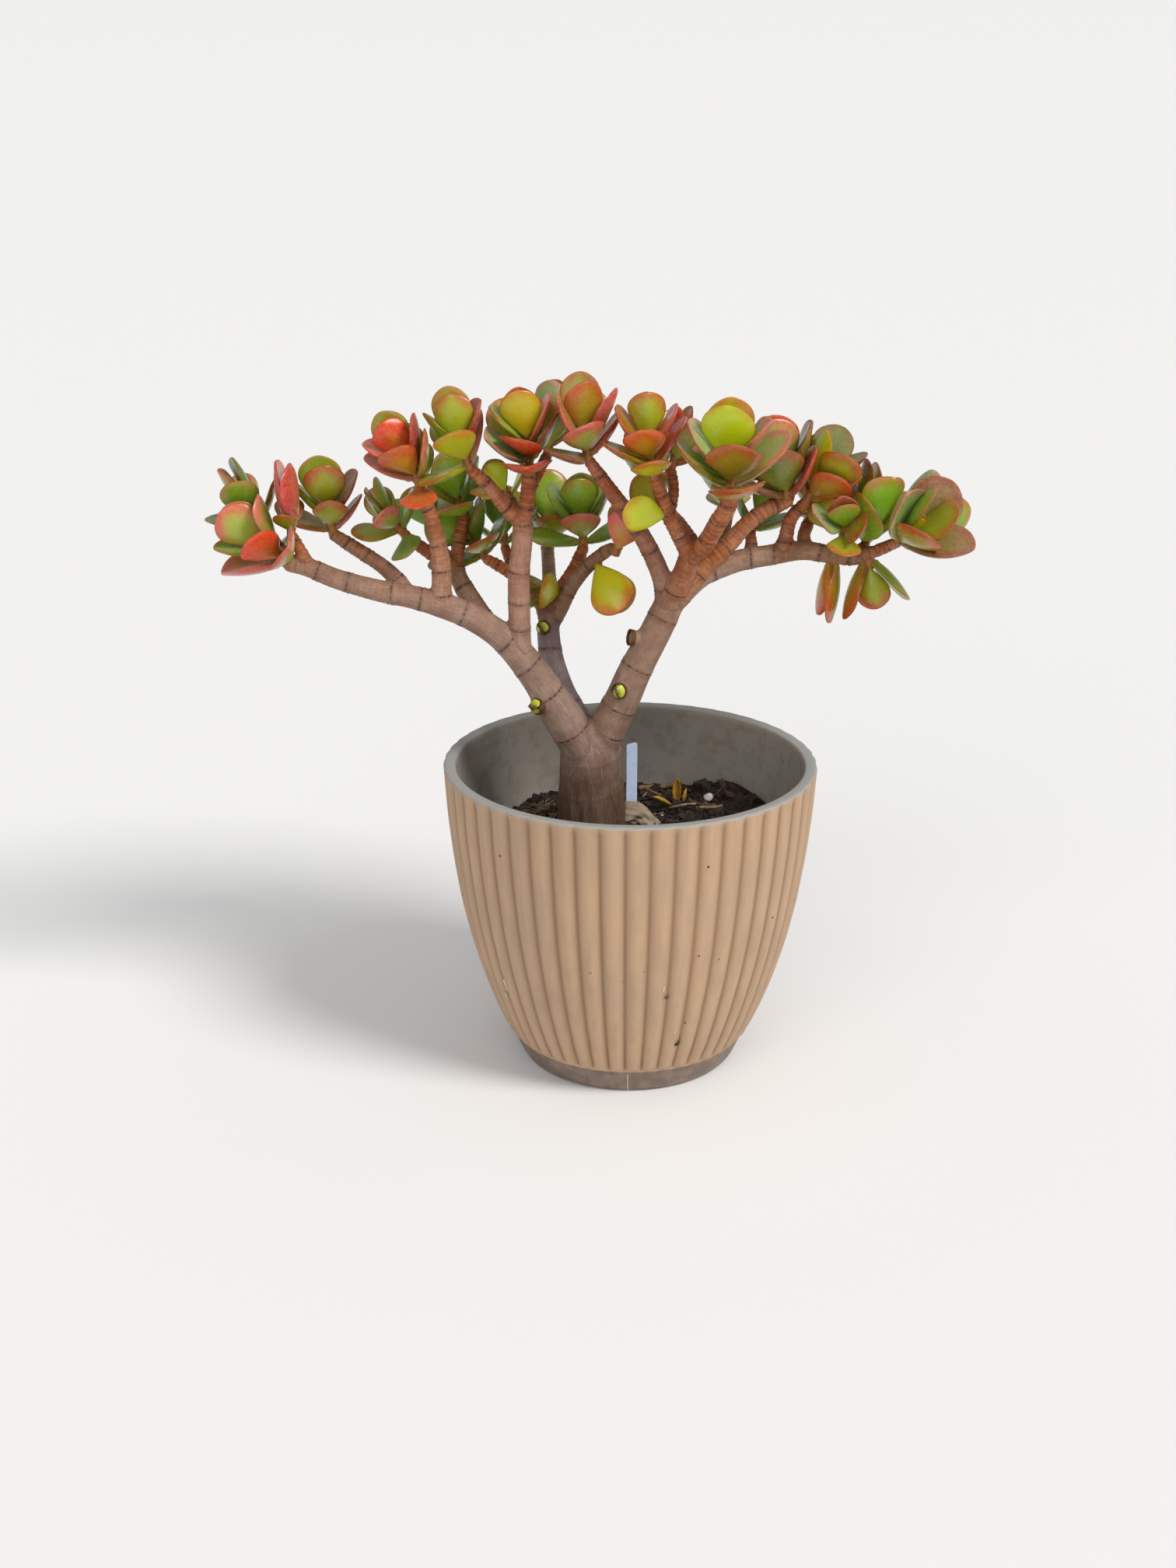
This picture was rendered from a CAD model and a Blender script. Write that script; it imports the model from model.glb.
# Looks of a jade plant grown as a bonsai in a ribbed beige pot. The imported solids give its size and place;
# finer leaves, wood, pot and soil take their place here. Working values are in millimetres.

import math
from functools import partial

import bmesh
import bpy
import numpy as np
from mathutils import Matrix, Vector


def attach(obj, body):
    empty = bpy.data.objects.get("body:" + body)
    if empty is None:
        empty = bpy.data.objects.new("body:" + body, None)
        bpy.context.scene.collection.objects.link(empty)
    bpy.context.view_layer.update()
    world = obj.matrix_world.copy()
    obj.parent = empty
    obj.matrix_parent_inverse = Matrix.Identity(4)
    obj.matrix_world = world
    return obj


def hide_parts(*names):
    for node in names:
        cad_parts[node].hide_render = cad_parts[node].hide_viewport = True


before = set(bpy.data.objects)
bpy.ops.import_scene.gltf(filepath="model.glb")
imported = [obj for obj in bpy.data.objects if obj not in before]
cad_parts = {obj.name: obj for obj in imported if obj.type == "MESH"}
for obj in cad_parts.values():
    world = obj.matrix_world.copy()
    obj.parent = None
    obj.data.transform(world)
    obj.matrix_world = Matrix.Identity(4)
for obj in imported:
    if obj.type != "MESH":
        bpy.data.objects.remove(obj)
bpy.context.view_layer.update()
print("scene: frame loaded")
front = -math.pi / 2  # the side of the pot that faces the camera


def linear(colour):
    # sRGB hex to linear RGB
    parts = [int(colour[i:i + 2], 16) / 255 for i in (1, 3, 5)]
    return tuple(c / 12.92 if c <= 0.04045 else ((c + 0.055) / 1.055) ** 2.4 for c in parts)


def unit(v):
    return v / np.linalg.norm(v)


def turnMatrix(axis, angle):
    # the turn by an angle about an axis
    x, y, z = axis
    c, s = math.cos(angle), math.sin(angle)
    k = 1 - c
    return np.array([
        [c + x * x * k, x * y * k - z * s, x * z * k + y * s],
        [y * x * k + z * s, c + y * y * k, y * z * k - x * s],
        [z * x * k - y * s, z * y * k + x * s, c + z * z * k],
    ])


# Meshes

def makeMesh(name, points, faces, material, smooth=True, sharp=None):
    # a mesh from points in millimetres; edges sharper than the given angle stay crisp
    mesh = bpy.data.meshes.new(name)
    mesh.from_pydata((np.asarray(points, float) * 0.001).tolist(), [], faces)
    mesh.materials.append(material)
    if smooth:
        mesh.shade_smooth()
        if sharp:
            mesh.set_sharp_from_angle(angle=math.radians(sharp))
    thing = bpy.data.objects.new(name, mesh)
    bpy.context.scene.collection.objects.link(thing)
    return thing


def putValues(mesh, name, values):
    # one number or one vector for each point, for the materials to read
    values = np.asarray(values, np.float32)
    kind = "FLOAT" if values.ndim == 1 else "FLOAT_VECTOR"
    layer = mesh.attributes.new(name, kind, "POINT")
    layer.data.foreach_set("value" if values.ndim == 1 else "vector", values.ravel())


def belong(thing, slotName, *nodes):
    # ties a piece to the body, its material slot and the solids that it stands for
    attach(thing, "root")
    if nodes:
        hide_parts(*nodes)
    return thing


class Parts:
    # points, faces and values gathered for one joined mesh
    def __init__(self):
        self.points, self.faces, self.values, self.count = [], [], {}, 0

    def add(self, points, faces, **values):
        # a value is one for all the points, or one for each
        points = np.asarray(points, float)
        self.points.append(points)
        self.faces += [[i + self.count for i in face] for face in faces]
        for key, value in values.items():
            value = np.asarray(value, float)
            if value.ndim == 0:
                value = np.full(len(points), value)
            elif value.shape == (3,):
                value = np.tile(value, (len(points), 1))
            self.values.setdefault(key, []).append(value)
        self.count += len(points)

    def make(self, name, material, **look):
        thing = makeMesh(name, np.concatenate(self.points), self.faces, material, **look)
        for key, chunks in self.values.items():
            putValues(thing.data, key, np.concatenate(chunks))
        return thing


def tubeFaces(rings, count, closed=True):
    # quads round a tube of rings, each of count points, with or without its two ends
    faces = [
        [r * count + i, r * count + (i + 1) % count, (r + 1) * count + (i + 1) % count, (r + 1) * count + i]
        for r in range(rings - 1) for i in range(count)
    ]
    if closed:
        faces += [list(range(count))[::-1], [(rings - 1) * count + i for i in range(count)]]
    return faces


def smoothPath(points, step):
    # a Catmull-Rom curve through (x, y, z, radius) points, sampled every step millimetres
    points = np.array(points, float)
    padded = np.vstack([2 * points[0] - points[1], points, 2 * points[-1] - points[-2]])
    made = []
    for i in range(1, len(padded) - 2):
        a, b, c, d = padded[i - 1:i + 3]
        count = max(2, int(np.linalg.norm(c[:3] - b[:3]) / step))
        for k in range(count):
            t = k / count
            made.append(0.5 * (2 * b + (c - a) * t + (2 * a - 5 * b + 4 * c - d) * t * t
                               + (3 * b - a - 3 * c + d) * t ** 3))
    made.append(points[-1])
    return np.array(made)


def carriedFrames(places):
    # the direction at each place of a path and two more square to it, carried along without a twist
    ahead = np.diff(places, axis=0)
    ahead /= np.linalg.norm(ahead, axis=1)[:, None]
    tangents = np.vstack([ahead[:1], ahead[:-1] + ahead[1:], ahead[-1:]])
    tangents /= np.linalg.norm(tangents, axis=1)[:, None]
    side = unit(np.cross(tangents[0], (0.3, 1.0, 0.1)))
    sides = []
    for tangent in tangents:
        side = unit(side - tangent * side.dot(tangent))
        sides.append(side)
    sides = np.array(sides)
    return tangents, sides, np.cross(tangents, sides)


def tubeRings(path, count, swell=None):
    # rings of points round a path of (x, y, z, radius)
    places, radii = path[:, :3], path[:, 3]
    _, sides, others = carriedFrames(places)
    angles = np.arange(count) * 2 * math.pi / count
    radii = np.repeat(radii[:, None], count, 1)
    if swell is not None:
        radii = radii * swell
    ring = sides[:, None] * np.cos(angles)[None, :, None] + others[:, None] * np.sin(angles)[None, :, None]
    return (places[:, None] + ring * radii[..., None]).reshape(-1, 3)


# Materials

# Short names for the nodes: Blender's own, its sockets in the order given, the output read, fixed settings
nodeKinds = {
    "value": ("ShaderNodeAttribute", (), "Fac", {}),
    "vector": ("ShaderNodeAttribute", (), "Vector", {}),
    "place": ("ShaderNodeNewGeometry", (), "Position", {}),
    "wayOut": ("ShaderNodeTexCoord", (), "Generated", {}),
    "height": ("ShaderNodeSeparateXYZ", (0,), 2, {}),
    "scale": ("ShaderNodeVectorMath", (0, "Scale"), 0, {"operation": "SCALE"}),
    "stretch": ("ShaderNodeMapping", ("Vector", "Scale"), 0, {}),
    "noise": ("ShaderNodeTexNoise", ("Vector", "Scale", "Detail", "Roughness"), 0, {}),
    "cells": ("ShaderNodeTexVoronoi", ("Vector", "Scale"), "Distance", {}),
    "plus": ("ShaderNodeMath", (0, 1), 0, {"operation": "ADD"}),
    "minus": ("ShaderNodeMath", (0, 1), 0, {"operation": "SUBTRACT"}),
    "times": ("ShaderNodeMath", (0, 1), 0, {"operation": "MULTIPLY"}),
    "over": ("ShaderNodeMath", (0, 1), 0, {"operation": "DIVIDE"}),
    "timesPlus": ("ShaderNodeMath", (0, 1, 2), 0, {"operation": "MULTIPLY_ADD"}),
    "rise": ("ShaderNodeMapRange", (0, 1, 2), 0, {"interpolation_type": "SMOOTHSTEP"}),
    "mix": ("ShaderNodeMix", (0, 6, 7), 2, {"data_type": "RGBA"}),
    "ramp": ("ShaderNodeValToRGB", (0,), 0, {}),
    "bump": ("ShaderNodeBump", ("Height", "Strength", "Distance"), 0, {}),
}


def setSockets(node, values):
    # links each value that is an output, and sets each that is a number, a vector or a hex colour
    for key, value in values.items():
        if isinstance(value, bpy.types.NodeSocket):
            node.id_data.links.new(value, node.inputs[key])
        else:
            node.inputs[key].default_value = (*linear(value), 1) if isinstance(value, str) else value


def addNode(tree, kind, *inputs, **settings):
    # one node with its settings and the links into it
    fullName, sockets, output, fixed = nodeKinds[kind]
    node = tree.nodes.new(fullName)
    for key, value in {**fixed, **settings}.items():
        setattr(node, key, value)
    setSockets(node, dict(zip(sockets, inputs)))
    return node.outputs[output]


def newMaterial(name):
    # a material, its shader, and the call that adds a node to it
    material = bpy.data.materials.new(name)
    material.use_nodes = True
    return material, material.node_tree.nodes["Principled BSDF"], partial(addNode, material.node_tree)


def grainyMaterial(name, low, high, scale, rough=0.95, depth=0.0008):
    # Earthy matter, dry and matt: two tones in a grain of the given scale per millimetre, rough and bumpy
    material, shader, add = newMaterial(name)
    grain = add("noise", add("scale", add("place"), 1000.0), scale, 5.0, 0.65)
    shift = add("value", attribute_name="shift")
    tone = add("plus", add("rise", grain, 0.32, 0.68), shift, use_clamp=True)
    setSockets(shader, {
        "Base Color": add("mix", tone, low, high),
        "Roughness": add("minus", rough, add("times", grain, 0.12)),
        "Normal": add("bump", grain, 0.9, depth),
        "IOR": 1.45,
    })
    return material


# Pot

potLook = {
    "height": 176.6, "wall": 7.0, "flutes": 48, "fluteDepth": 2.1, "fluteShift": -0.042, "perFlute": 14,
    "footBandTop": 16.0,
    "profile": [
        (0, 61.3), (16, 68.2), (30, 76.3), (50, 83.8), (75, 91.2), (100, 96.7), (125, 100.5),
        (150, 103.2), (176.6, 104.9),
    ],
    "skin": "#aa896b", "ridge": "#ba9a7c", "valley": "#84644a", "rim": "#9d9c98", "inside": "#9a948a",
    "foot": "#6f5e52", "dirt": "#33261c",
}


def potMaterial():
    # Moulded plastic, matt with a stone tint: paler ridges, dark dusty valleys, a grey lip, a stained foot
    material, shader, add = newMaterial("matt beige pot plastic")
    crest, rim, inside, foot = (add("value", attribute_name=n) for n in ("crest", "rim", "inside", "foot"))
    spot = add("vector", attribute_name="spot")
    # spot is the place in millimetres: clouds of 45 mm, streaks of 6 mm, grit of 0.7 mm
    cloud = add("noise", spot, 0.022, 4.0)
    grit = add("noise", spot, 1.4, 3.0)
    streak = add("noise", add("stretch", spot, (1.0, 1.0, 0.12)), 0.16, 4.0)
    base = add("mix", add("rise", crest, 0.2, 1.0), potLook["skin"], potLook["ridge"])
    base = add("mix", add("times", add("rise", streak, 0.42, 0.65), 0.30), base, "#9c8064")
    base = add("mix", add("times", add("rise", cloud, 0.42, 0.68), 0.35), base, "#a48c76")
    base = add("mix", add("times", add("rise", crest, 0.50, 0.0), 0.70), base, potLook["valley"])
    base = add("mix", add("times", add("rise", grit, 0.55, 0.75), 0.12), base, "#e2cdb0")
    base = add("mix", rim, base, potLook["rim"])
    base = add("mix", inside, base, potLook["inside"])
    smear = add("noise", spot, 0.11, 5.0, 0.62)
    base = add("mix", foot, base, add("mix", add("rise", smear, 0.40, 0.66), potLook["foot"], "#857264"))
    stain = add("times", inside, add("rise", smear, 0.46, 0.64))
    base = add("mix", add("times", stain, 0.26), base, "#6a5f50")
    # rare dirt specks about 1 mm wide, and a few pale scuffs
    specks = add("times", add("rise", add("cells", spot, 0.045), 0.045, 0.028), 0.85)
    base = add("mix", specks, base, potLook["dirt"])
    scuff = add("noise", spot, 0.35, 5.0, 0.75)
    base = add("mix", add("times", add("rise", scuff, 0.69, 0.76), 0.45), base, "#e6d8c0")
    rough = add("minus", 0.62, add("times", foot, 0.20))
    setSockets(shader, {
        "Base Color": base,
        "Roughness": add("plus", rough, add("times", cloud, 0.08)),
        "Normal": add("bump", grit, 0.22, 0.0003),
        "IOR": 1.46,
    })
    return material


def outerRadius(z):
    heights, radii = zip(*potLook["profile"])
    return float(np.interp(z, heights, radii))


def smoothRadius(z):
    # the profile with its corners eased over about 12 mm
    near = [outerRadius(min(max(z + d, 0.0), potLook["height"])) for d in (-6, -3, 0, 3, 6)]
    return sum(near) / 5 if 18 < z < 168 else outerRadius(z)


def potOutside(band):
    # (height, how far it stands out, how fully it is fluted) up the outside, with a rounded foot and lip
    levels = [(0.0, -5.0, 0), (0.0, -3.4, 0), (0.35, -2.0, 0), (1.1, -1.0, 0), (2.4, -0.4, 0), (4.5, -0.1, 0),
              (8, 0, 0), (12, 0, 0), (band - 0.6, 0.1, 0), (band - 0.1, -0.25, 0), (band + 0.5, 0.2, 0.3),
              (band + 1.2, 0.6, 0.7), (band + 2.2, 0.8, 0.92), (band + 4, 0.8, 1)]
    levels += [(z, 0.8 * max(0, 1 - (z - band) / 18), 1) for z in (22, 25, 29, 33, 37)]
    levels += [(z, 0, 1) for z in np.linspace(42, 170, 30)]
    levels += [(172.0, 0, 0.94), (173.6, 0, 0.76), (174.8, 0, 0.54), (175.6, -0.1, 0.38)]
    return levels + [(176.2, -0.35, 0.28), (176.6, -0.95, 0.2)]


def potInside(tall, wall):
    # (height, depth under the outside, how much it is rim, how much it is inside) over the lip and down
    levels = [(tall, wall - 4.5, 1, 0), (tall, wall - 1.3, 1, 0), (tall - 0.35, wall - 0.4, 1, 0),
              (tall - 1.4, wall, 0.5, 0.5)]
    return levels + [(z, wall, 0, 1) for z in np.linspace(tall - 4, 108, 12)]


def makePotFine(material):
    flutes, per = potLook["flutes"], potLook["perFlute"]
    tall, wall, band = potLook["height"], potLook["wall"], potLook["footBandTop"]
    around = flutes * per
    angles = front + potLook["fluteShift"] + 2 * math.pi * np.arange(around) / around
    share = (np.arange(around) % per) / per
    # a flute's section: part round arch, part sine
    arch = 0.55 * (1 - np.abs(2 * share - 1) ** 2.0) ** 0.75 + 0.45 * np.sin(math.pi * share) ** 1.3
    points, crest, rims, insides, feet = [], [], [], [], []

    def addRing(radius, z, high, rim, inside, foot):
        points.append(np.stack([radius * np.cos(angles), radius * np.sin(angles), np.full(around, z)], 1))
        for values, value in ((crest, high), (rims, rim), (insides, inside), (feet, foot)):
            values.append(np.broadcast_to(value, around))

    for z, extra, fluted in potOutside(band):
        radius = smoothRadius(z) + extra - potLook["fluteDepth"] * fluted * (1 - arch)
        rim = 1.0 if z > 176.0 else 0.35 if z > 175.3 else 0.0
        addRing(radius, z, 1 - (1 - arch) * fluted, rim, 0.0, float(z < band - 0.2))
    for z, deep, rim, inside in potInside(tall, wall):
        radius = outerRadius(z) - deep + 0.12 * np.sin(angles * 5 + z / 9) * (inside > 0.9)
        addRing(radius, z, 0.8, rim, inside, 0.0)
    count = len(points)
    points = np.concatenate(points)
    pot = makeMesh("pot_fine", points, tubeFaces(count, around), material, sharp=70)
    for name, values in (("crest", crest), ("rim", rims), ("inside", insides), ("foot", feet)):
        putValues(pot.data, name, np.concatenate(values))
    putValues(pot.data, "spot", points)
    return belong(pot, "pot", "pot")


def makePotMarks(seam, dirt):
    # the mould seam on the foot band, a few dirt smudges and pale scuffs, as thin flakes on the surface
    draw = np.random.RandomState(8)
    parts, darks = Parts(), Parts()
    count = 14

    def flake(target, angle, z, wide, tall, shift, raggedness=0.35):
        # a ragged patch at an angle from the front, just proud of the pot
        ring = []
        for k in range(count):
            a = 2 * math.pi * k / count
            reach = 1 + draw.uniform(-raggedness, raggedness)
            dz = math.sin(a) * tall / 2 * reach
            da = math.cos(a) * wide / 2 * reach / smoothRadius(z)
            radius = smoothRadius(z + dz) + 0.06 + (1.2 * max(0, 1 - (z - 16) / 18) if z > 17 else 0)
            turn = front + angle + da
            ring.append((radius * math.cos(turn), radius * math.sin(turn), z + dz))
        target.add(ring, [list(range(count))], shift=shift)

    for k in range(11):
        flake(parts, -0.02 + draw.uniform(-0.003, 0.003), 1.8 + k * 1.35, 0.55, 1.2, draw.uniform(0.0, 0.5))
    for angle, z, wide, tall in ((-0.92, 62, 1.6, 8.0), (-0.96, 54, 1.2, 5.0), (0.30, 46, 0.5, 3.4),
                                 (0.19, 78, 0.5, 4.2)):
        flake(parts, angle, z, wide, tall, draw.uniform(-0.3, 0.1))
    for angle, z, size in ((-0.24, 88, 0.9), (0.385, 97, 1.0), (0.21, 72, 2.2), (0.335, 37, 2.8),
                           (0.36, 52, 1.3), (0.07, 90, 0.6), (-0.05, 84, 0.5), (0.52, 92, 0.7)):
        flake(darks, angle, z, size, size * draw.uniform(0.8, 1.6), draw.uniform(-0.2, 0.3), 0.5)
    belong(parts.make("pot_scuffs", seam), "pot")
    belong(darks.make("pot_specks", dirt), "pot")


# Soil

soilLook = {
    "level": 127.0, "tilt": 0.05, "chips": 900, "crumbs": 2600, "fibres": 160,
    "dark": "#120d0a", "mid": "#2a1e17", "chip": "#44322a", "pale": "#82705c", "twig": "#a08868",
    "pebble": "#cfccc4", "dryLeaf": "#b8922e",
    # mounds: place across and back, height, spread squared
    "mounds": [(62, 72, 7.0, 260), (72, 50, 5.0, 300), (-50, 45, 5.0, 420), (-20, 12, 3.0, 900)],
    "trunkPlace": (-20.5, 12), "trunkReach": 18.5,
}


def soilHeight(x, y):
    level = soilLook["level"] + soilLook["tilt"] * x
    level += 1.5 * math.sin(x / 13 + 1.0) * math.cos(y / 17) + 0.9 * math.sin(x / 5.1 + y / 6.3)
    for across, back, high, spread in soilLook["mounds"]:
        level += high * math.exp(-((x - across) ** 2 + (y - back) ** 2) / spread)
    return level


def soilReach(room):
    # how far the soil goes from the pot's middle, less some room by the wall
    return outerRadius(soilLook["level"]) - potLook["wall"] - room


def makeSoilFine(material):
    # the crumbly top of the soil out to the wall, with a skirt down into the pot
    draw = np.random.RandomState(6)
    rings, around, skirtFoot = 62, 300, 100.0
    reach = soilReach(0.1)
    ways = [(math.cos(a), math.sin(a)) for a in 2 * math.pi * np.arange(around) / around]
    points, shift = [], []
    for r in range(rings):
        share = r / (rings - 1)
        radius = 0.4 + (reach - 0.4) * share
        for across, back in ways:
            x, y = radius * across, radius * back
            rough = draw.uniform(-0.8, 0.8)
            points.append((x, y, soilHeight(x, y) + rough * (share < 0.995)))
            shift.append(draw.uniform(-0.25, 0.25))
    for across, back in ways:
        points.append((reach * 0.97 * across, reach * 0.97 * back, skirtFoot))
        shift.append(0.0)
    soil = makeMesh("soil_fine", points, tubeFaces(rings + 1, around), material)
    putValues(soil.data, "shift", shift)
    return belong(soil, "soil", "soil")


def clearOfTrunk(x, y, room=0.0):
    across, back = soilLook["trunkPlace"]
    return math.hypot(x - across, y - back) > soilLook["trunkReach"] + room


def makeStrewn(draw, name, material, count, sizes, flat, lift, paleShare):
    # small blocks strewn on the soil, each turned its own way; flat ones lie like chips
    reach = soilReach(3)
    cube = np.array([(x, y, z) for x in (-1, 1) for y in (-1, 1) for z in (-1, 1)], float)
    cubeFaces = [[0, 1, 3, 2], [4, 6, 7, 5], [0, 4, 5, 1], [2, 3, 7, 6], [0, 2, 6, 4], [1, 5, 7, 3]]
    parts = Parts()
    placed = 0
    while placed < count:
        a, r = draw.uniform(0, 2 * math.pi), reach * math.sqrt(draw.rand())
        x, y = r * math.cos(a), r * math.sin(a)
        if not clearOfTrunk(x, y, 1.0):
            continue
        size = sizes[0] + (sizes[1] - sizes[0]) * draw.rand() ** 2.5
        turn = turnMatrix(unit(draw.uniform(-1, 1, 3)), draw.uniform(0, math.pi))
        box = cube * (1 + draw.uniform(-0.35, 0.35, cube.shape))
        leanAxis = unit(np.array([draw.uniform(-1, 1), draw.uniform(-1, 1), 0.01]))
        lean = turnMatrix(leanAxis, draw.uniform(0, 0.9))
        spin = turnMatrix(np.array([0, 0, 1.0]), draw.uniform(0, 6.3))
        if flat:
            box = (box * (1.0, draw.uniform(0.35, 0.8), draw.uniform(0.14, 0.3))) @ (lean @ spin).T
        else:
            box = box @ turn.T
        at = np.array([x, y, soilHeight(x, y) + lift * size])
        pale = draw.uniform(-0.5, 0.5) + (draw.rand() < paleShare) * 0.8
        parts.add(box * size / 2 + at, cubeFaces, shift=pale)
        placed += 1
    belong(parts.make(name, material, smooth=False), "soil")


def makeFibres(draw, material):
    # thin roots and fibres that wander over the soil, thicker on the left of the trunk
    reach = soilReach(3)
    parts = Parts()
    for _ in range(soilLook["fibres"]):
        near = draw.rand() < 0.55
        x = -52 + draw.normal(0, 14) if near else draw.uniform(-80, 80)
        y = 38 + draw.normal(0, 14) if near else draw.uniform(-80, 80)
        if math.hypot(x, y) > reach - 8 or not clearOfTrunk(x, y, 2):
            continue
        heading = draw.uniform(0, 6.3)
        path = []
        steps = draw.randint(6, 16)
        for s in range(steps):
            heading += draw.uniform(-0.5, 0.5)
            x, y = x + 1.5 * math.cos(heading), y + 1.5 * math.sin(heading)
            if math.hypot(x, y) > reach or not clearOfTrunk(x, y, 0.5):
                break
            height = soilHeight(x, y) + 0.7 + 1.6 * math.sin(math.pi * s / steps) * draw.uniform(0.4, 1.0)
            path.append((x, y, height, draw.uniform(0.16, 0.32)))
        if len(path) > 3:
            parts.add(tubeRings(np.array(path), 6), tubeFaces(len(path), 6), shift=draw.uniform(-0.5, 0.4))
    belong(parts.make("soil_fibres", material), "soil")


def makeChips(darkChip, paleChip, crumb, fibre):
    draw = np.random.RandomState(14)
    makeStrewn(draw, "soil_chips", darkChip, soilLook["chips"], (2.2, 9.5), True, 0.12, 0.05)
    makeStrewn(draw, "soil_crumbs", crumb, soilLook["crumbs"], (0.8, 3.0), False, 0.1, 0.03)
    makeStrewn(draw, "soil_pale_chips", paleChip, 70, (2.5, 7.0), True, 0.2, 0.2)
    makeFibres(draw, fibre)


def makeTwigs(draw, material):
    # a light branching twig and two loose bits, laid along the soil
    parts = Parts()
    flatLevel = 129.4  # the soil's height that the twigs' own heights were set against
    for seed, points in enumerate((
        [(-2, 74, 131, 0.9), (6, 78, 131.5, 1.3), (14, 83, 131, 1.5), (22, 84, 131.5, 1.4),
         (30, 80, 133, 1.0)],
        [(10, 81, 131, 0.9), (14, 74, 131.5, 0.8), (20, 68, 131, 0.6)],
        [(2, 60, 130.5, 0.6), (8, 66, 131.5, 0.7), (12, 74, 131, 0.6)],
        [(40, 40, 131, 0.8), (48, 38, 132, 1.0), (55, 41, 131.6, 0.7)],
        [(24, 48, 131, 0.7), (31, 44, 132.5, 0.8), (40, 46, 131.2, 0.6)],
    ), 1):
        path = smoothPath(points, 1.2)
        path[:, 2] += np.array([soilHeight(p[0], p[1]) for p in path]) - flatLevel
        path[:, 3] *= 1 + 0.15 * np.sin(np.arange(len(path)) * 1.3 + seed)
        parts.add(tubeRings(path, 10), tubeFaces(len(path), 10), shift=draw.uniform(-0.2, 0.3))
    belong(parts.make("soil_twig", material), "soil")


def makeStones(draw, material):
    # a white pebble and small stones: bumpy balls (place across and back, size, how pale)
    parts = Parts()
    for x, y, size, pale in (
        (48, 55, 3.1, 0.5), (10, 55, 1.8, 0.2), (-60, 60, 1.5, 0.1), (30, 66, 1.3, 0.3), (66, 30, 1.7, -0.2),
        (20, 40, 1.2, 0.0), (-70, 20, 1.4, 0.2), (40, 20, 1.3, 0.2), (0, -50, 1.8, 0.2), (-40, -50, 1.6, 0.0),
    ):
        ball = bmesh.new()
        bmesh.ops.create_icosphere(ball, subdivisions=3, radius=1.0)
        points = np.array([v.co[:] for v in ball.verts])
        faces = [[v.index for v in f.verts] for f in ball.faces]
        ball.free()
        bumps = 1 + 0.10 * np.sin(points @ draw.uniform(-3, 3, 3) + 1)
        bumps = bumps + 0.08 * np.sin(points @ draw.uniform(-4, 4, 3))
        points = points * bumps[:, None] * (size, size * 0.85, size * 0.75)
        parts.add(points + (x, y, soilHeight(x, y) + size * 0.45), faces, shift=pale)
    belong(parts.make("soil_stones", material), "soil")


def makeDryLeaves(draw, material):
    # thin curled blades, one standing on its stalk: place, heading, pitch, length, width, curl
    parts = Parts()
    rows, cols = 14, 9
    faces = [[r * cols + c, r * cols + c + 1, (r + 1) * cols + c + 1, (r + 1) * cols + c]
             for r in range(rows - 1) for c in range(cols - 1)]
    for at, heading, pitch, length, width, curl in (
        ((29, 55), 80, 74, 15, 4.5, 0.6), ((26, 52), 195, 22, 13, 6, 0.4), ((33, 56), 340, 60, 8, 3.5, 0.6),
    ):
        a, b = math.radians(heading), math.radians(pitch)
        ahead = np.array([math.cos(a) * math.cos(b), math.sin(a) * math.cos(b), math.sin(b)])
        side = unit(np.cross(ahead, (0, 0, 1.0)))
        up = np.cross(side, ahead)
        base = np.array([*at, soilHeight(*at) + 0.6])
        points = []
        for r in range(rows):
            t = r / (rows - 1)
            half = width / 2 * max(0.10, math.sin(math.pi * min(1, t * 0.92 + 0.06)) ** 0.8)
            for c in range(cols):
                q = 2 * c / (cols - 1) - 1
                raised = curl * half * q * q * 1.6 + 1.6 * t * t * curl * 3 + draw.uniform(-0.1, 0.1)
                points.append(base + ahead * t * length + side * q * half + up * raised)
        parts.add(points, faces, shift=draw.uniform(-0.2, 0.2))
    leaf = parts.make("soil_dry_leaf", material)
    thick = leaf.modifiers.new("thick", "SOLIDIFY")
    thick.thickness = 0.0004
    belong(leaf, "soil")


def makeLitter(twig, pebble, dryLeaf):
    draw = np.random.RandomState(21)
    makeTwigs(draw, twig)
    makeStones(draw, pebble)
    makeDryLeaves(draw, dryLeaf)


# Label

labelLook = {
    "size": (8.0, 1.0, 72.0), "at": (1.5, 30.0), "foot": 104.0, "turn": 38.0, "colour": "#c3d2f0",
}


def labelMaterial():
    # Thin moulded plastic, pale blue-white and a little see-through, with faint long scratches and soil dust
    material, shader, add = newMaterial("pale label plastic")
    mm = add("scale", add("place"), 1000.0)
    scratch = add("noise", add("stretch", mm, (1.0, 1.0, 0.08)), 1.8, 3.0)
    dust = add("noise", mm, 0.25, 4.0)
    base = add("mix", add("times", add("rise", dust, 0.45, 0.7), 0.3), labelLook["colour"], "#a9aec0")
    soiled = add("times", add("rise", add("height", mm), 146.0, 132.0), 0.5)
    setSockets(shader, {
        "Base Color": add("mix", soiled, base, "#8f8a80"),
        "Roughness": add("plus", 0.30, add("times", scratch, 0.25)),
        "Subsurface Weight": 0.2,
        "Subsurface Scale": 0.001,
    })
    return material


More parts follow.
